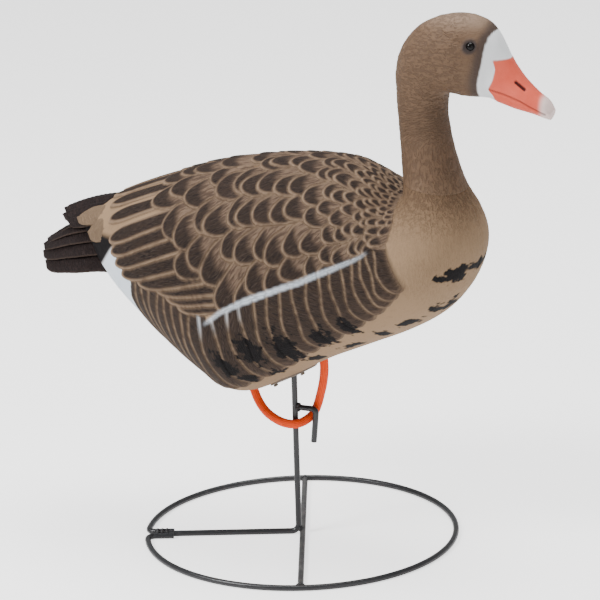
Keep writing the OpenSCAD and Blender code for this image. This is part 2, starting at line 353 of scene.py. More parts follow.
def bar_finish():
    """The cross bar's coating, rubbed greyer than the rest."""
    f = Finish("rubbed_steel", Coat_Weight=0.1)
    worn = f.clouds(60.0, 5.0, 0.7)
    f.paint(f.mix(f.rise(worn, 0.35, 0.75), colour(48, 48, 50), colour(92, 91, 90)))
    f.rough(0.3, 0.3, worn)
    f.bump(f.grain(900.0, 160.0), 0.0003)
    return f.material


def weld_finish():
    """Weld beads under the black coating, lumpy and a little duller."""
    f = Finish("weld", Roughness=0.5)
    f.paint(f.mottle(colour(36, 35, 37), 120.0, 900.0, 0.9))
    f.bump(f.grain(700.0, 260.0), 0.0009)
    return f.material


SLEEVE_STRANDS = 8  # round the cord
SLEEVE_PITCH = 0.0022  # metres along it


def elastic_finish():
    """Orange elastic cord with a fine woven sleeve that follows the cord's own UV map; the grooves
    between its strands are painted darker as shade.
    """
    f = Finish("elastic", Sheen_Weight=0.08, Sheen_Roughness=0.4, Specular_IOR_Level=0.25)
    uv = f.add("ShaderNodeUVMap", uv_map="sleeve").outputs[0]
    parts = f.add("ShaderNodeSeparateXYZ", {0: uv})
    turns = f.times(parts.outputs[0], 2 * math.pi * SLEEVE_STRANDS)
    run = f.times(parts.outputs[1], 2 * math.pi / SLEEVE_PITCH)
    one = f.math("SINE", f.plus(turns, run))
    other = f.math("SINE", f.math("SUBTRACT", turns, run))
    weave = f.times(one, other)
    # painted shade: the grooves between the woven strands darker, the raised strands lighter
    base = f.mix(f.rise(weave, -0.9, 0.6), colour(206, 48, 4), colour(252, 84, 12))
    f.paint(f.mottle(base, 60.0, 900.0, 0.25))
    f.rough(0.62, -0.08, weave)
    f.bump(weave, 0.0003, 0.6)
    return f.material


def nylon_finish():
    """Natural nylon of the swivel cap, unevenly polished."""
    f = Finish("nylon", Subsurface_Weight=0.1, Subsurface_Radius=(0.004, 0.004, 0.003))
    f.paint(f.mottle(colour(214, 211, 200), 80.0, 900.0, 0.2))
    f.rough(0.25, 0.25, f.clouds(300.0))
    f.bump(f.grain(1200.0, 200.0), 0.0002)
    return f.material


def socket_finish():
    """Brown moulded plastic of the socket cone, satin, with faint flow clouds."""
    f = Finish("socket_plastic", Specular_IOR_Level=0.4)
    f.paint(f.mottle(colour(104, 90, 76), 45.0, 700.0, 0.3))
    f.rough(0.42, 0.2, f.clouds(200.0))
    f.bump(f.grain(1500.0, 120.0), 0.0003)
    return f.material


def screw_finish():
    """Screws under the same brown paint as the belly."""
    f = Finish("painted_screws")
    f.paint(f.mottle(colour(108, 92, 76), 300.0, 2000.0, 0.4))
    f.rough(0.36, 0.3, f.clouds(900.0))
    f.bump(f.grain(2500.0, 500.0), 0.0001)
    return f.material


def eye_finish():
    """Glossy black-brown moulded eye."""
    f = Finish("eye", Roughness=0.12, Specular_IOR_Level=0.22)
    f.paint(f.mottle(colour(10, 7, 6), 220.0, 900.0, 0.8))
    f.bump(f.grain(800.0, 200.0), 0.00005)
    return f.material


DOWN_BROWN = colour(100, 78, 60)
DOWN_TAN = colour(146, 121, 95)


def plumage_finish():
    """Painted feathers: every colour comes from masks that lie in the mesh; the bare down's folds are
    darkened as painted shade.
    """
    f = Finish("painted_plumage", Specular_IOR_Level=0.1)
    streak = f.barbs(0.42)
    fine = f.barbs(0.95)
    patch = f.clouds(26.0, 3.0)
    speck = f.rise(f.clouds(260.0, 4.0, 0.7), 0.5, 0.8)
    down = f.mix(f.attribute("tan"), DOWN_BROWN, DOWN_TAN)
    down = f.mix(f.times(speck, 0.3), down, colour(112, 90, 70))
    # the bare down's folds are darkened here as painted shade
    down, crease = f.creases(down, f.attribute("fold"))
    root = f.mix(streak, colour(116, 96, 80), colour(78, 63, 53))
    plain = f.mix(f.attribute("feathered"), down, root)
    deep = f.mix(patch, colour(22, 18, 18), colour(40, 31, 28))
    dark = f.mix(f.times(f.times(fine, streak), 0.5), deep, colour(84, 71, 63))
    solid = f.plus(0.88, f.times(streak, 0.12))
    base = f.mix(f.times(f.attribute("centre"), solid), plain, dark)
    worn = f.rise(f.clouds(75.0, 3.0), 0.30, 0.52)
    kept = f.plus(0.6, f.times(worn, 0.4))
    edge = f.mix(patch, colour(160, 135, 110), colour(124, 102, 83))
    base = f.mix(f.times(f.attribute("rim"), kept), base, edge)
    base = f.mix(f.attribute("ink"), base, f.mix(fine, colour(15, 13, 14), colour(28, 25, 26)))
    base = f.mix(f.attribute("white"), base, f.mix(patch, colour(204, 216, 230), colour(226, 231, 236)))
    f.paint(f.mottle(base, 14.0, 900.0, 0.22))
    f.rough(0.66, 0.1, fine)
    combed = f.times(f.times(fine, f.attribute("feathered")), 0.45)
    folded = f.times(crease, f.attribute("fold"))
    f.bump(f.plus(f.plus(combed, folded), f.times(f.grain(1100.0, 260.0), 0.35)), 0.0009)
    return f.material


def tail_finish():
    """Brown-black tail and wing tips with fine combed barbs; the pale mask turns a feather tan."""
    f = Finish("tail_plumage", Specular_IOR_Level=0.12)
    fine = f.barbs(0.9)
    patch = f.clouds(40.0, 4.0)
    dark = f.mix(patch, colour(20, 15, 17), colour(38, 29, 28))
    base = f.mix(f.times(fine, 0.4), dark, colour(62, 51, 48))
    base = f.mix(f.attribute("rim"), base, colour(92, 77, 68))
    tan = f.mix(f.times(fine, 0.35), colour(134, 112, 90), colour(104, 86, 70))
    base = f.mix(f.attribute("pale"), base, tan)
    f.paint(f.mottle(base, 30.0, 900.0, 0.3))
    f.rough(0.56, 0.12, fine)
    f.bump(f.plus(f.times(fine, 0.9), f.grain(520.0, 200.0)), 0.0008)
    return f.material


def head_finish():
    """Painted neck, face and bill: creased down with painted shade in its folds, a painted highlight on
    the crown, white face band, salmon bill with a pale nail.
    """
    f = Finish("painted_head", Specular_IOR_Level=0.2)
    brown = f.mix(f.clouds(20.0), DOWN_BROWN, colour(108, 85, 66))
    # painted highlight: the top of the head turns lighter
    brown = f.mix(f.attribute("crown_highlight"), brown, colour(130, 108, 90))
    brown = f.mix(f.attribute("tan"), brown, DOWN_TAN)
    # the down's folds are darkened here as painted shade
    down, crease = f.creases(brown, f.attribute("fold"))
    down = f.mix(f.attribute("ink"), down, colour(58, 50, 48))
    face = f.mix(f.clouds(60.0), colour(236, 237, 238), colour(218, 221, 223))
    base = f.mix(f.attribute("white"), down, face)
    bill = f.mix(f.clouds(50.0, 4.0), colour(206, 76, 56), colour(232, 108, 86))
    bill = f.mix(f.attribute("rim"), bill, colour(228, 204, 198))
    bill = f.mix(f.attribute("centre"), bill, colour(70, 24, 20))
    base = f.mix(f.attribute("bill"), base, bill)
    f.paint(f.mottle(base, 16.0, 900.0, 0.16))
    f.rough(0.62, -0.22, f.attribute("bill"))
    folded = f.times(crease, f.attribute("fold"))
    f.bump(f.plus(folded, f.times(f.grain(1200.0, 300.0), 0.25)), 0.0009)
    return f.material


STEEL = steel_finish()
ELASTIC = elastic_finish()
PLUMAGE = plumage_finish()
TAIL = tail_finish()
HEAD = head_finish()


def dress(material, *nodes):
    """Gives CAD nodes their material."""
    for node in nodes:
        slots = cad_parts[node].data.materials
        slots.clear()
        slots.append(material)


# ---- elastic loop ----

CORD_D = 9.5 * MM
CORD = np.array([
    [-54, 0, 205], [-53, 0, 190], [-51.5, 0, 174], [-47.5, 0, 158], [-39.5, -3, 145.5],
    [-29, -6.5, 137], [-16, -9, 131.5], [-5, -9.8, 129.5], [4.5, -7.6, 129.5], [12, 0, 132],
    [18, 7.8, 138], [22.5, 9.8, 148.5], [27, 8.6, 162], [32, 5, 177],
    [35, 2, 192], [35.5, 0, 206], [34.5, 0, 220], [33.5, 0, 234], [33, 0, 248]]) * MM
CORD_END = len(CORD) - 1
CORD_SIDES = 28
CORD_STEP = 0.08


def cord_piece(name, first, last):
    """One stretch of the loop, a closed tube that bends between the two shares of it in reach."""
    count = int((last - first) / CORD_STEP)
    u = np.linspace(first, last, count)
    path = along(CORD, u)
    tangent = unit(along(CORD, np.minimum(u + 0.02, CORD_END)) - along(CORD, np.maximum(u - 0.02, 0)))
    side = unit(np.cross([0, 1, 0], tangent))
    other = np.cross(tangent, side)
    turn = 2 * math.pi * np.arange(CORD_SIDES) / CORD_SIDES
    rings = path[:, None] + CORD_D / 2 * (side[:, None] * np.cos(turn)[None, :, None]
                                          + other[:, None] * np.sin(turn)[None, :, None])
    faces = grid_faces(count, CORD_SIDES, True)
    ends = [list(range(CORD_SIDES))[::-1], [(count - 1) * CORD_SIDES + k for k in range(CORD_SIDES)]]
    piece = mesh_object(name, rings, faces + ends, flat=2)
    run = np.concatenate([[0], np.cumsum(np.linalg.norm(np.diff(path, axis=0), axis=1))])
    layer = piece.data.uv_layers.new(name="sleeve")
    for polygon in piece.data.polygons:
        ring = polygon.index % CORD_SIDES
        for loop in polygon.loop_indices:
            vertex = piece.data.loops[loop].vertex_index
            across = vertex % CORD_SIDES
            if across == 0 and ring == CORD_SIDES - 1 and len(polygon.vertices) == 4:
                across = CORD_SIDES
            layer.data[loop].uv = (across / CORD_SIDES, run[vertex // CORD_SIDES])
    piece.data.materials.append(ELASTIC)
    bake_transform(piece)
    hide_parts("cord_loop")
    return piece


def elastic_loop():
    cord_piece("cord_rear_upper", 0, 4.6)
    cord_piece("cord_rear_lower", 4.6, 9.7)
    cord_piece("cord_front_lower", 9.7, 13.75)
    cord_piece("cord_front_upper", 13.75, CORD_END)


elastic_loop()


# ---- stand ----

ROD_SIDES = 32
BEND_STEPS = 8


def rod_tree():
    """Geometry Nodes: a round rod bent along a polyline, with its corners rounded."""
    tree = bpy.data.node_groups.new("Bent rod", "GeometryNodeTree")
    for label, kind in (("Geometry", "Geometry"), ("Rod radius", "Float"),
                        ("Bend radius", "Float"), ("Material", "Material")):
        tree.interface.new_socket(label, in_out="INPUT", socket_type="NodeSocket" + kind)
    tree.interface.new_socket("Geometry", in_out="OUTPUT", socket_type="NodeSocketGeometry")
    n = Nodes(tree)
    given, put = n.add("NodeGroupInput"), n.add("NodeGroupOutput")
    line = n.add("GeometryNodeMeshToCurve", {"Mesh": given.outputs["Geometry"]})
    bend = n.add("GeometryNodeFilletCurve", {"Curve": line.outputs[0], "Count": BEND_STEPS,
                                             "Limit Radius": True,
                                             "Radius": given.outputs["Bend radius"]}, mode="POLY")
    profile = n.add("GeometryNodeCurvePrimitiveCircle", {"Resolution": ROD_SIDES,
                                                         "Radius": given.outputs["Rod radius"]})
    tube = n.add("GeometryNodeCurveToMesh", {"Curve": bend.outputs[0], "Fill Caps": True,
                                             "Profile Curve": profile.outputs[0]})
    real = n.add("GeometryNodeRealizeInstances", {"Geometry": tube.outputs[0]})
    coat = n.add("GeometryNodeSetMaterial", {"Geometry": real.outputs[0],
                                             "Material": given.outputs["Material"]})
    n.feed(put.inputs[0], coat.outputs[0])
    return tree


def run_tree(piece, tree, values):
    """Runs a Geometry Nodes tree on a piece and keeps the result as its plain mesh."""
    modifier = piece.modifiers.new("tree", "NODES")
    modifier.node_group = tree
    for item in tree.interface.items_tree:
        if item.in_out == "INPUT" and item.name in values:
            modifier[item.identifier] = values[item.name]
    result = piece.evaluated_get(bpy.context.evaluated_depsgraph_get())
    mesh = bpy.data.meshes.new_from_object(result)
    piece.modifiers.clear()
    piece.data = mesh


END_BEND = 8 * MM
END_TAIL = 20 * MM
TAIL_Y = 6.45 * MM
HOOP_POINTS = 120


def base_hoop():
    """The hoop as one bent rod whose two ends turn inwards beside the stake's foot."""
    gap = math.asin((END_BEND + TAIL_Y) / (HOOP_R - END_BEND))
    angles = np.linspace(-math.pi + gap + 0.02, math.pi - gap - 0.02, HOOP_POINTS)
    ring = [(HOOP_R * math.cos(a), HOOP_R * math.sin(a)) for a in angles]
    corner_x = (HOOP_R + 0.0001) * math.cos(gap)
    tail_x = -(HOOP_R - END_BEND) * math.cos(gap) + END_TAIL
    line = [(tail_x, -TAIL_Y), (-corner_x, -TAIL_Y)] + ring + [(-corner_x, TAIL_Y), (tail_x, TAIL_Y)]
    c, s = math.cos(STAND_TURN), math.sin(STAND_TURN)
    points = [(HOOP_MIDDLE.x + x * c - y * s, HOOP_MIDDLE.y + x * s + y * c, ROD_R) for x, y in line]
    hoop = mesh_object("base_hoop", points, [], edges=[(i, i + 1) for i in range(len(points) - 1)])
    run_tree(hoop, rod_tree(), {"Rod radius": ROD_R, "Bend radius": END_BEND, "Material": STEEL})
    hoop.data.shade_smooth()
    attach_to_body(hoop, "stand")
    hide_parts("ring_hoop", "hoop_ends")


base_hoop()
dress(STEEL, "stake_rod", "loop_hook")
dress(bar_finish(), "cross_bar")
dress(weld_finish(), "weld_foot", "weld_hook", "weld_hoop_ends", "weld_bar_ends")
dress(nylon_finish(), "swivel_cap")
dress(socket_finish(), "socket_cone")
dress(screw_finish(), "socket_screws")
dress(ELASTIC, "knot_front", "knot_rear")
dress(eye_finish(), "eye_left", "eye_right")


# ---- outline of the goose ----

# One section a row, tail to bill, in millimetres: top x, top z, bottom x, bottom z,
# half width, height of the widest level as a share of the section
GOOSE = [
    [-232, 352, -230, 304, 26, 0.5], [-210, 364, -206, 276, 50, 0.5], [-170, 382, -170, 244, 76, 0.5],
    [-127, 398, -130, 213, 94, 0.5], [-87, 411, -90, 182, 103, 0.5], [-47, 420, -54, 163, 106, 0.5],
    [-5, 426, -2, 184, 107, 0.5], [35, 429, 45, 210, 105, 0.48], [68, 427, 97, 233, 101, 0.46],
    [95, 415, 143, 254, 96, 0.44], [115, 402, 177, 275, 89, 0.44], [126, 397, 199, 300, 82, 0.46],
    [131, 397, 212, 326, 73, 0.48], [133, 399, 217, 352, 64, 0.5], [134, 404, 211, 380, 52, 0.5],
    [133, 417, 198, 406, 41, 0.5], [131, 436, 189, 433, 33, 0.5], [129, 462, 182, 463, 29, 0.5],
    [127, 490, 179, 487, 28, 0.5], [126, 512, 180, 503, 29, 0.5], [126, 530, 182, 510, 31, 0.5],
    [131, 552, 187, 511, 33, 0.5], [143, 571, 193, 510, 35, 0.5], [160, 584, 200, 509, 36, 0.5],
    [182, 592, 207, 508, 36, 0.5], [205, 594, 215, 508, 33, 0.5], [224, 589, 223, 508, 28, 0.5],
    [237, 578, 230, 507, 22, 0.5], [246, 562, 238, 504, 18, 0.5], [254, 547, 248, 501, 15, 0.5],
    [266, 531, 260, 498, 13.5, 0.5], [280, 518, 275, 495, 12, 0.5], [291, 509, 287, 492, 10, 0.5],
    [297, 500, 294, 490, 5, 0.5]]
GOOSE_X = 3.5
SEAM = 15
BILL_TIP = 33


def sections(u, degrees):
    """Grid of points on the right-hand side of the goose (0 on top, 180 below), in millimetres."""
    s = along(GOOSE, u)
    nothing = 0 * s[:, 0]
    top = np.stack([s[:, 0] + GOOSE_X, nothing, s[:, 1]], -1)[:, None]
    low = np.stack([s[:, 2] + GOOSE_X, nothing, s[:, 3]], -1)[:, None]
    mid = low + (top - low) * s[:, None, 5:6]
    c = np.cos(np.radians(degrees))[None, :, None]
    points = mid + np.where(c >= 0, (top - mid) * c, (mid - low) * c)
    points[..., 1] -= s[:, 4][:, None] * np.sin(np.radians(degrees))[None]
    return points


def normals(points):
    n = np.cross(np.gradient(points, axis=1), np.gradient(points, axis=0))
    return unit(n)


def even(first, last, spacing):
    """Parameters from first to last whose sections lie about spacing millimetres apart."""
    u = np.linspace(first, last, 600)
    line = sections(u, np.array([0, 45, 90, 135, 180.0]))
    gaps = np.linalg.norm(np.diff(line, axis=0), axis=-1)
    run = np.concatenate([[0], np.cumsum(0.6 * gaps.max(axis=1) + 0.4 * gaps.mean(axis=1))])
    return np.interp(np.linspace(0, run[-1], int(run[-1] / spacing)), run, u)


# ---- feathers ----

FEATHER_SEED = 7


def spot(u, degrees):
    """Place and outward normal of the skin at a parameter and an angle."""
    place = sections([u], np.array([degrees]))[0, 0]
    near = sections([u - 0.02, u + 0.02], np.array([degrees - 1.0, degrees + 1.0]))
    return place, unit(np.cross(near[0, 1] - near[0, 0], near[1, 0] - near[0, 0]))


class Plumage:
    """Feathers laid over a grid of skin points; a later feather lies over an earlier one."""

    def __init__(self, points, out):
        self.points, self.out = points, out
        shape = points.shape[:2]
        self.level, self.centre, self.rim, self.white = (np.zeros(shape) for _ in range(4))
        self.feathered = np.zeros(shape)
        self.barb = np.zeros(shape + (3,))
        self.rng = np.random.default_rng(FEATHER_SEED)

    def feather(self, root, tip, width, lift, kind, where, bow=0.0, round_from=0.55, wave=0.0):
        """Lays one feather from root to tip, each a parameter and an angle, inside the mask where."""
        a, na = spot(*root)
        b, nb = spot(*tip)
        length = np.linalg.norm(b - a)
        ahead = (b - a) / length
        out = unit(na + nb)
        side = unit(np.cross(out, ahead))
        near = np.abs(self.points - (a + b) / 2).max(axis=-1) < 0.62 * length + width
        near &= (self.out @ out) > 0.15
        near &= where
        p = self.points[near] - a
        t = p @ ahead / length
        across = p @ side - bow * 4 * t * (1 - t)
        phase = self.rng.uniform(0, 6.3)
        across = across + wave * np.sin(t * 9 + phase)
        half = width / 2
        beyond = np.clip((t - round_from) / (1 - round_from), 0, None)
        radius = np.hypot(across / half, beyond)
        edge = np.where(t < round_from, half - np.abs(across), (1 - radius) * half)
        on = (edge > 0) & (t > -0.12)
        hit = np.zeros(near.shape, bool)
        hit[near] = on
        t, across, edge = t[on], across[on], edge[on]
        tone = self.rng.uniform(0, 40)
        rise = 0.12 + 0.88 * np.clip(t, 0, 1)
        self.level[hit] = lift * rise * step(-0.3, 1.3, edge) + 0.35 * lift * np.cos(across / half * 1.5)
        self.paint(kind, hit, t, across / half, edge)
        fast, slow = across, t * length
        if kind == "flank":
            fast, slow = t * length + 0.35 * np.abs(across), across
        self.barb[hit] = np.stack([fast, slow, 0 * slow + tone], -1)
        self.feathered[hit] = 1

    def paint(self, kind, hit, t, c, edge):
        """Masks of one feather: t runs to its tip, c across it, edge inwards from its rim."""
        white = np.zeros(len(t))
        if kind == "scale":
            rim = 1 - step(0.9, 2.0, edge)
            centre = step(0.46, 0.68, t + 0.2 * c ** 2) * step(1.0, 2.2, edge)
        elif kind == "small":
            rim = 1 - step(0.9, 1.8, edge)
            centre = step(1.2, 2.2, edge) * step(0.2, 0.5, t)
        elif kind == "long":
            rim = 1 - step(1.1, 2.4, edge - 1.3 * step(-0.1, 0.5, c) * (1 - 0.6 * t))
            centre = (1 - rim) * step(-0.05, 0.1, t)
        else:
            rim = (1 - step(1.1, 2.5, edge)) * step(1.04, 0.86, t)
            centre = (0.95 - 0.2 * step(0.5, 1.0, t)) * step(1.04, 0.86, t)
            if kind == "edged":
                white = 0.85 * rim * step(0.34, 0.08, t)
        self.rim[hit], self.centre[hit], self.white[hit] = rim, centre, white


FLANK_LOBES = 25
LONG_FEATHERS = 11


def stripe_angle(u):
    """Angle of the white stripe between the folded wing and the flank."""
    return np.interp(u, [4.2, 4.9, 5.3, 5.8, 6.6, 7.3, 8.15, 9.1, 9.6],
                     [112, 101, 96, 94, 91, 88, 82, 73, 67])


def lay_flank(skin, below):
    """Tall wavy lobes that hang from under the wing, tail end first."""
    for f in np.linspace(0, 1, FLANK_LOBES):
        root_u = np.interp(f, [0, 0.36, 1], [2.7, 4.9, 10.25])
        root_a = stripe_angle(root_u) - 4 if root_u > 4.6 else np.interp(root_u, [2.7, 4.6], [90, 96])
        tip_u = np.interp(f, [0, 0.2, 0.36, 0.6, 1], [3.6, 4.5, 5.25, 6.9, 10.0])
        tip_a = np.interp(f, [0, 0.2, 0.36, 0.55, 0.75, 1], [148, 152, 152, 148, 134, 106])
        kind = "edged" if 0.34 < f < 0.53 else "flank"
        skin.feather((root_u, root_a), (tip_u, tip_a), 34 - 8 * f, 2.1, kind, below,
                     bow=-9 + 7 * f, round_from=0.72, wave=1.3)


def lay_long(skin, above):
    """Long tertials and wing coverts that fan back over the rump, lowest first."""
    for f in np.linspace(0, 1, LONG_FEATHERS):
        tip = (np.interp(f, [0, 0.2, 0.4, 0.55, 0.7, 1], [4.0, 3.3, 2.1, 1.75, 1.6, 1.1]),
               np.interp(f, [0, 0.2, 0.4, 0.55, 0.7, 1], [98, 94, 99, 90, 74, 12]))
        root = (np.interp(f, [0, 0.2, 0.4, 0.55, 0.7, 1], [5.75, 5.6, 4.5, 3.9, 3.6, 3.3]),
                np.interp(f, [0, 0.2, 0.4, 0.55, 0.7, 1], [93, 84, 70, 60, 48, 6]))
        skin.feather(root, tip, 20, 2.6, "long", above, bow=1.5, round_from=0.66)


def lay_scales(skin, above):
    """Rows of rounded scapulars and mantle feathers that shrink towards the neck, rear first."""
    u = 3.5
    row = 0
    while u < 11.6:
        size = np.interp(u, [3.4, 5.5, 7.5, 9, 10.2, 11.6], [30, 30, 25, 17, 10.5, 6.8])
        du = 0.1 / np.linalg.norm(spot(u + 0.1, 45)[0] - spot(u, 45)[0])
        girth = 107 if u < 9 else np.interp(u, [9, 12], [100, 74])
        width = 1.22 * size
        last = min(stripe_angle(u) if u < 9.4 else np.interp(u, [9.4, 10.4, 11.6], [70, 56, 40]), 100)
        pitch = np.degrees(width / girth)
        stagger = (row % 2) * pitch
        for degrees in np.arange(last + 2, 0.5 * stagger - 6, -pitch):
            if u < np.interp(degrees, [0, 30, 50, 61, 68, 75, 82, 100],
                             [3.6, 3.8, 4.2, 4.5, 5.0, 5.6, 6.2, 6.6]):
                continue
            jitter = skin.rng.uniform(-1, 1, 3)
            down = math.radians(12 + 26 * step(5, 60, degrees) + 9 * jitter[0])
            reach = size * (1.7 + 0.2 * jitter[1])
            root = (u, degrees + 2 * jitter[2] * size / 25 + 0.25 * stagger)
            tip = (u - reach * math.cos(down) * du, root[1] + np.degrees(reach * math.sin(down) / girth))
            kind = "scale" if size > 13 else "small"
            skin.feather(root, tip, width * (1.12 + 0.1 * jitter[2]), 0.7 + 0.06 * size, kind, above,
                         round_from=0.42, wave=0.03 * size)
        u += size * du * 0.62
        row += 1


BLOTCHES = [  # x, z, half length, half height, tilt in degrees
    (-8, 236, 13, 20, 20), (30, 243, 13, 22, 25), (72, 257, 12, 14, 20), (101, 274, 8, 15, 30),
    (49, 222, 9, 6, 0), (157, 273, 16, 4.5, 15), (186, 288, 14, 5, 30), (209, 329, 14, 8, 25),
    (-40, 215, 9, 18, 25),
    (-22, 200, 9, 6, 10), (10, 207, 12, 4.5, 25), (90, 240, 14, 4.5, 20), (128, 260, 10, 5, 15)]


def blotches(points):
    """Irregular black blotches of the belly, as a mask."""
    x, z = points[..., 0], points[..., 2]
    drawn = points * np.array([1, 0.3, 1])
    jag = ripple(drawn, 7.0) + 0.6 * ripple(drawn, 2.6, 5.0)
    mask = np.zeros(x.shape)
    for bx, bz, half_x, half_z, tilt in BLOTCHES:
        c, s = math.cos(math.radians(tilt)), math.sin(math.radians(tilt))
        dx, dz = x - bx, z - bz
        away = np.hypot((dx * c + dz * s) / half_x, (dz * c - dx * s) / half_z)
        mask = np.maximum(mask, 1 - step(0.78, 0.98, away + 0.85 * jag))
    return mask


def bore(points, place, radius, depth):
    """Pushes the skin up inside a round hole that opens downwards."""
    away = np.hypot(points[..., 0] - place[0], points[..., 1] - place[1])
    points[..., 2] += depth * (1 - step(radius, radius + 0.9, away)) * (points[..., 2] < place[2])


def soften(field):
    """Blurs a field by about one quad, so that slanting edges don't step."""
    field[1:-1] = 0.25 * field[:-2] + 0.5 * field[1:-1] + 0.25 * field[2:]
    field[:, 1:-1] = 0.25 * field[:, :-2] + 0.5 * field[:, 1:-1] + 0.25 * field[:, 2:]


def down_tan(z):
    """How far the brown neck has turned to the tan of the breast, by height."""
    return step(435, 350, z)


def down_coordinates(points):
    """Coordinates for the down's folds, which run round the head and along the neck."""
    heights = np.arange(200.0, 620.0, 2)
    folded = np.interp(points[..., 2], heights, np.cumsum(0.35 + 0.65 * step(455, 505, heights)) * 2)
    wide = 0.45 + 0.55 * step(505, 455, points[..., 2])
    return np.stack([points[..., 0] * wide, points[..., 1] * wide, folded], -1)


BODY_STEP = 1.42  # size of the skin's quads
HALF_GIRTH = 334  # from the back to the belly round the widest section
SOCKET = ((0, 0, 260), 20.3, 172)  # limit of the hole, radius, rise
CORD_HOLES = (((-49.5, 0, 200), 5.6, 16), ((35.5, 0, 240), 5.6, 16))


def body_side():
    """Points and masks of the decoy's right-hand half."""
    u = even(0, SEAM, BODY_STEP)
    degrees = np.linspace(0, 180, int(HALF_GIRTH / BODY_STEP))
    points = sections(u, degrees)
    out = normals(points)
    skin = Plumage(points, out)
    line = stripe_angle(u)[:, None]
    grid_a = np.broadcast_to(degrees[None], points.shape[:2])
    grid_u = np.broadcast_to(u[:, None], points.shape[:2])
    above = (grid_a < line) | (grid_u < 4.9)
    below = ((grid_a >= line) | (grid_u < 4.9)) & (grid_u > 2.45 - np.maximum(grid_a - 97, 0) / 160)
    lay_flank(skin, below)
    lay_long(skin, above)
    lay_scales(skin, above)

    for field in (skin.level, skin.centre, skin.rim, skin.white):
        soften(field)
    z = points[..., 2]
    arc = (grid_a - line) * math.pi / 180 * 105
    thick = np.interp(grid_u, [4.8, 6.0, 8.0, 9.4], [0.6, 2.3, 1.9, 0.3])
    stripe = step(thick + 0.9, thick, np.abs(arc))
    stripe = stripe * step(4.75, 5.05, grid_u) * (1 - step(9.2, 9.5, grid_u))
    soften(stripe)
    fan_edge = grid_u - (1.65 - (grid_a - 81) / 55)
    fan_root = step(0.06, -0.06, fan_edge) * (1 - skin.feathered) * step(20, 40, grid_a)
    rump = step(-0.06, 0.06, fan_edge) * (1 - skin.feathered) * step(76, 84, grid_a)
    rump = rump * (1 - step(2.9, 3.3, grid_u))
    # breast and neck side: no feathers, and the last lobes fade out
    front = np.interp(grid_u, [9.5, 10.35, 11.3, 11.8, 12.3], [78, 66, 46, 22, -10])
    bare = step(10.0, 10.5, grid_u) * step(-4, 4, grid_a - front)
    fade = 1 - bare
    ink = np.maximum(blotches(points) * step(1.0, 0.4, stripe), fan_root * step(64, 74, grid_a))
    tan = np.maximum(down_tan(z), step(118, 140, grid_a) * step(10, 8, grid_u))
    tan = np.maximum(tan, 0.55 * fan_root * step(74, 64, grid_a))
    # fold: creases moulded into the bare down, which the plumage also darkens as painted shade
    fold = bare * np.maximum(0.7 * step(350, 400, z), 0.16)
    down = down_coordinates(points)
    barb = np.where((skin.feathered * fade > 0.5)[..., None], skin.barb, down)
    level = skin.level * fade + 0.9 * stripe + 0.35 * ripple(points, 30.0) * step(SEAM, SEAM - 1, grid_u)
    ridge = np.exp(-((grid_u - np.interp(grid_a, [60, 110], [9.75, 10.1])) / 0.10) ** 2)
    level = level + 0.8 * ridge * step(60, 75, grid_a) * step(120, 100, grid_a)
    parting = np.abs(points[..., 1])
    level = level - 0.5 * np.exp(-(parting / 1.2) ** 2) * step(10, 11.5, grid_u)
    level = level + 0.7 * fold * ripple(down, 2.6)
    moved = points + out * level[..., None]
    moved[:, 0, 1] = 0
    moved[:, -1, 1] = 0
    for hole in (SOCKET, *CORD_HOLES):
        bore(moved, *hole)
    masks = {"centre": skin.centre * fade, "rim": skin.rim * fade, "feathered": skin.feathered * fade,
             "white": np.clip(stripe + rump + skin.white, 0, 1), "ink": ink, "tan": tan, "fold": fold}
    return moved, masks, barb


def rear_dome(points, masks, barb):
    """Rounds the rear end off with a few shrinking rings."""
    ring = points[0]
    middle = np.array([ring[:, 0].mean(), 0, ring[:, 2].mean()])
    turns = np.radians([88, 72, 54, 36, 18])
    rings = [middle + (ring - middle) * math.cos(a) - np.array([13 * math.sin(a), 0, 0]) for a in turns]

    def extended(field):
        return np.concatenate([np.repeat(field[:1], len(rings), 0), field])

    points = np.concatenate([np.array(rings), points])
    return points, {key: extended(value) for key, value in masks.items()}, extended(barb)


def body_half(name, points, masks, barb, mirror):
    rows, columns = points.shape[:2]
    placed = points * MM * (np.array([1, -1, 1]) if mirror else 1)
    faces = grid_faces(rows, columns, False)
    wall = [[i * columns, (i + 1) * columns, (i + 2) * columns - 1, (i + 1) * columns - 1]
            for i in range(rows - 1)]
    rear = list(range(columns))[::-1]
    front = [(rows - 1) * columns + k for k in range(columns)]
    faces = faces + wall + [rear, front]
    if mirror:
        faces = [face[::-1] for face in faces]
    piece = mesh_object(name, placed, faces, flat=rows + 1)
    for key, value in masks.items():
        attach(piece, key, value)
    attach(piece, "barb", barb, "FLOAT_VECTOR")
    piece.data.materials.append(PLUMAGE)
    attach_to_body(piece, "decoy")
    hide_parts("body_shell")
    return piece


def body():
    points, masks, barb = rear_dome(*body_side())
    body_half("body_right", points, masks, barb, False)
    body_half("body_left", points, masks, barb, True)


body()


# ---- tail and wing tips ----

BLADE_ROWS = 44
BLADE_COLUMNS = 17
TAIL_FEATHERS = 9


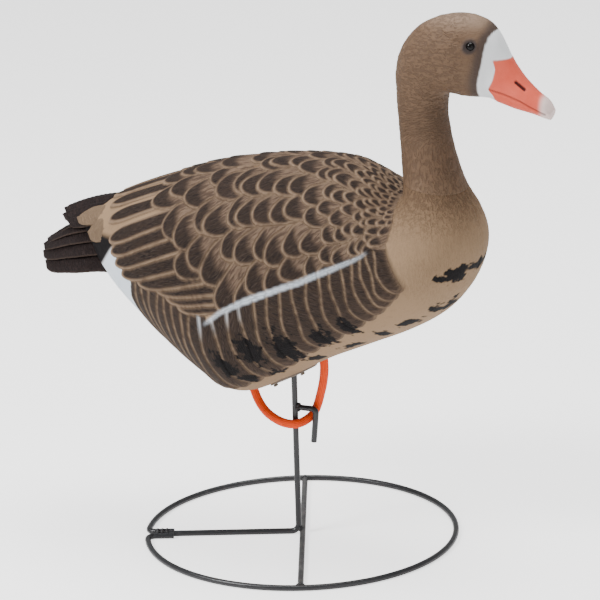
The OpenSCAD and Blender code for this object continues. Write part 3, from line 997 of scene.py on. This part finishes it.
def blade(name, root, tip, width, thick, out=(0, 0, 1), belly=2.5, arch=0.0, round_from=0.6, pale=0.0):
    """One closed feather blade, slightly domed, with a shaft ridge and combed barbs, in millimetres."""
    rows, columns = BLADE_ROWS, BLADE_COLUMNS
    root, tip = np.array(root, float), np.array(tip, float)
    ahead = unit(tip - root)
    side = unit(np.cross(out, ahead))
    up = np.cross(ahead, side)
    t = np.linspace(0, 1, rows)
    beyond = np.clip((t - round_from) / (1 - round_from), 0, 1)
    half = width / 2 * (0.72 + 0.28 * step(0, 0.5, t)) * np.sqrt(np.clip(1 - beyond ** 2.4, 0.0004, 1))
    c = np.linspace(-1, 1, columns)
    spread = half[:, None] * c[None]
    line = root + (tip - root) * t[:, None]
    dome = belly * (1 - c ** 2)[None] + arch * (4 * t * (1 - t))[:, None]
    length = np.linalg.norm(tip - root)
    along_barb = t[:, None] * length + 0.5 * np.abs(spread)
    comb = 0.22 * np.sin(along_barb * 2.2)
    shaft = 0.7 * np.exp(-(spread / 0.9) ** 2)
    upper = line[:, None] + side * spread[..., None] + up * (dome + comb + shaft)[..., None]
    body_thick = thick * np.sqrt(np.clip(1 - c ** 6, 0.02, 1))[None] * (1 - 0.55 * t)[:, None]
    lower = upper - up * body_thick[..., None]
    rings = np.hstack([upper, lower[:, ::-1]])
    around = 2 * columns
    faces = [face[::-1] for face in grid_faces(rows, around, True)]
    faces += [list(range(around)), [(rows - 1) * around + k for k in range(around)][::-1]]
    piece = mesh_object(name, rings * MM, faces, flat=2)
    edge = np.minimum(half[:, None] - np.abs(spread), ((1 - t) * length * 0.8)[:, None])
    rim = 0.55 * (1 - step(0.2, 1.1, edge))
    attach(piece, "rim", np.hstack([rim, rim[:, ::-1]]))
    attach(piece, "pale", np.full(rows * around, pale))
    barb = np.stack([along_barb, spread, 0 * spread + root[1]], -1)
    attach(piece, "barb", np.hstack([barb, barb[:, ::-1]]), "FLOAT_VECTOR")
    piece.data.materials.append(TAIL)
    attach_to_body(piece, "decoy")
    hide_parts("body_shell")
    return piece


def tail():
    """The tent-shaped fan of nine blunt feathers, the middle one on top."""
    for k in range(TAIL_FEATHERS):
        s = 2 * k / (TAIL_FEATHERS - 1) - 1
        root = (-196, 40 * s, 336 - 36 * s * s)
        tip = (-284 - 24 * abs(s) + 29 * s * s, 31 * s, 309 - 18 * s * s)
        blade(f"tail_feather_{k + 1}", root, tip, 31, 5, out=(0, s, 1),
              arch=11 - 7 * abs(s), round_from=0.68)


def coverts():
    """Two short tan feathers a side that lie over the roots of the fan."""
    for label, side in (("left", 1), ("right", -1)):
        blade(f"tail_covert_{label}_1", (-176, side * 52, 344), (-221, side * 37, 331), 27, 7,
              out=(-0.2, side * 0.85, 0.5), arch=3, round_from=0.5, pale=0.9)
        blade(f"tail_covert_{label}_2", (-182, side * 33, 355), (-243, side * 20, 340), 24, 7,
              out=(-0.25, side * 0.7, 0.7), arch=3, round_from=0.5, pale=0.9)


def wing_tips():
    """Folded wing tips over the tail, three feathers a side that close into one lobe."""
    for label, side in (("left", 1), ("right", -1)):
        for k in range(3):
            root = (-188, side * (4 + 7 * k), 363 - 3.5 * k)
            tip = (-267 - 3 * k + 4 * k * k, side * (3 + 5.5 * k), 341 - 4.5 * k)
            blade(f"wing_tip_{label}_{k + 1}", root, tip, 27, 9, out=(0, side * (0.3 + 0.35 * k), 1),
                  belly=5, arch=4, round_from=0.45)


tail()
coverts()
wing_tips()


# ---- head ----

HEAD_STEP = 1.15
HEAD_COLUMNS = 150
EYE = np.mean(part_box("eye_right"), axis=0) / MM


def near_line(points, stops):
    """Distance in the side view from a line through stops, each an x and a z."""
    best = np.full(points.shape[:2], 1e9)
    p = points[..., [0, 2]]
    for a, b in zip(np.array(stops[:-1], float), np.array(stops[1:], float)):
        t = np.clip(((p - a) @ (b - a)) / ((b - a) @ (b - a)), 0, 1)
        best = np.minimum(best, np.linalg.norm(p - a - t[..., None] * (b - a), axis=-1))
    return best


def head():
    """Neck, head and bill as one shell; eye rims, nostrils, mouth line and nail are in its surface."""
    u = even(SEAM, BILL_TIP, HEAD_STEP)
    columns = HEAD_COLUMNS
    degrees = np.arange(columns) * 360 / columns
    points = sections(u, degrees)
    out = normals(points)
    x, z = points[..., 0], points[..., 2]
    down = down_coordinates(points)
    sideways = np.abs(out[..., 1])
    face_edge = np.interp(z, [505, 512, 529, 543, 562, 574, 580], [222, 224, 227, 231, 234, 236, 240])
    bill_edge = np.interp(z, [512, 515, 520, 531, 542, 551], [240, 239, 236, 242, 244.5, 242])
    wobble = 0.8 * ripple(points, 6.0)
    white = step(-0.8, 0.8, x - face_edge + wobble)
    bill = step(-0.5, 0.5, x - bill_edge + 0.4 * wobble) * step(551.5, 550.3, z)
    nail = step(286, 293, x)
    nostril = 1 - step(0.9, 1.7, near_line(points, [(264, 528.5), (273, 521)]))
    nostril = nostril * step(0.3, 0.6, sideways)
    mouth_line = near_line(points, [(237, 520), (254, 515), (269, 509.5), (280, 503.5), (294, 497)])
    mouth = (1 - step(0.5, 1.5, mouth_line)) * step(0.25, 0.5, sideways)
    dark = step(-15, -3, x - face_edge) * (1 - 0.45 * step(530, 560, z) * step(-6, -12, x - face_edge))
    to_eye = np.linalg.norm(points * [1, 0, 1] - EYE * [1, 0, 1], axis=-1)
    dark = np.maximum(0.75 * dark, 1 - step(5, 10, to_eye))
    brow = near_line(points, [(EYE[0] + dx, EYE[2] + dz) for dx, dz in ((-4, 2), (-18, 6), (-32, 14))])
    level = 0.35 * ripple(points, 14.0) * step(SEAM, SEAM + 1, u)[:, None]
    level = level + 1.1 * np.exp(-((to_eye - 6.4) / 1.5) ** 2) - 1.0 * np.exp(-(to_eye / 4.2) ** 2)
    level = level - 1.1 * np.exp(-(brow / 2.2) ** 2) * (1 - white)
    level = level - 1.4 * nostril - 0.9 * mouth + 0.5 * bill + 0.5 * nail
    lips = np.exp(-((mouth_line - 2.6) / 1.2) ** 2) * bill
    level = level + 0.5 * lips
    smooth_cheek = 1 - 0.7 * step(205, 220, x) * step(505, 515, z)
    # fold: creases moulded into the down, which the head material also darkens as painted shade
    fold = 0.7 * smooth_cheek * (1 - white) * (1 - bill)
    level = level + 0.7 * fold * ripple(down, 2.6)
    moved = points + out * level[..., None]
    rows = len(u)
    faces = grid_faces(rows, columns, True)
    faces += [list(range(columns))[::-1], [(rows - 1) * columns + k for k in range(columns)]]
    piece = mesh_object("head", moved * MM, faces, flat=2)
    # crown_highlight paints the top of the head lighter as a highlight
    masks = {"white": white * (1 - bill), "bill": bill, "ink": dark * (1 - white),
             "tan": down_tan(z), "rim": nail, "centre": np.clip(nostril * 1.2 + 0.55 * mouth, 0, 1),
             "fold": fold, "crown_highlight": step(575, 594, z)}
    for key, value in masks.items():
        attach(piece, key, value)
    attach(piece, "barb", down, "FLOAT_VECTOR")
    piece.data.materials.append(HEAD)
    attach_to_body(piece, "decoy")
    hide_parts("head_shell")


head()


# ---- floor and light ----

SURROUND = 0.42  # light from all round
BACKDROP = 1.9  # what the camera sees behind the object
FLOOR_GLOW = 0.4  # light that the floor throws up
FLOOR_SEEN = 1.5  # keeps the floor pale to the camera, away from the lamps
FLOOR_HALF = 6  # metres from its middle to each side
LAMPS = (("key", (-1.5, -1.9, 2.4), 105, 1.0), ("fill", (2.4, -1.6, 1.2), 12, 1.6),
         ("top", (0.1, 0.3, 2.6), 62, 1.4))  # name, place, power and size


def studio():
    """Pale floor, wide soft lights and an even pale surround."""
    corners = [(x * FLOOR_HALF, y * FLOOR_HALF, 0) for x, y in ((-1, -1), (1, -1), (1, 1), (-1, 1))]
    floor = mesh_object("floor", corners, [[0, 1, 2, 3]])
    f = Finish("floor", Roughness=0.6, Emission_Color=(1, 1, 1, 1))
    f.feed(f.shader.inputs["Emission Strength"], f.seen(FLOOR_GLOW, FLOOR_SEEN))
    f.paint(f.mottle(colour(246, 246, 246), 2.0, 30.0, 0.02))
    floor.data.materials.append(f.material)
    world = bpy.data.worlds.new("surround")
    bpy.context.scene.world = world
    world.use_nodes = True
    n = Nodes(world.node_tree)
    sky = world.node_tree.nodes["Background"]
    n.feed(sky.inputs[0], (1, 1, 1, 1))
    n.feed(sky.inputs[1], n.seen(SURROUND, BACKDROP))
    for name, place, power, size in LAMPS:
        lamp = bpy.data.objects.new(name, bpy.data.lights.new(name, "AREA"))
        lamp.data.energy = power
        lamp.data.size = size
        lamp.location = place
        lamp.rotation_euler = (Vector((0, 0, 0.3)) - Vector(place)).to_track_quat("-Z", "Y").to_euler()
        bpy.context.scene.collection.objects.link(lamp)


studio()
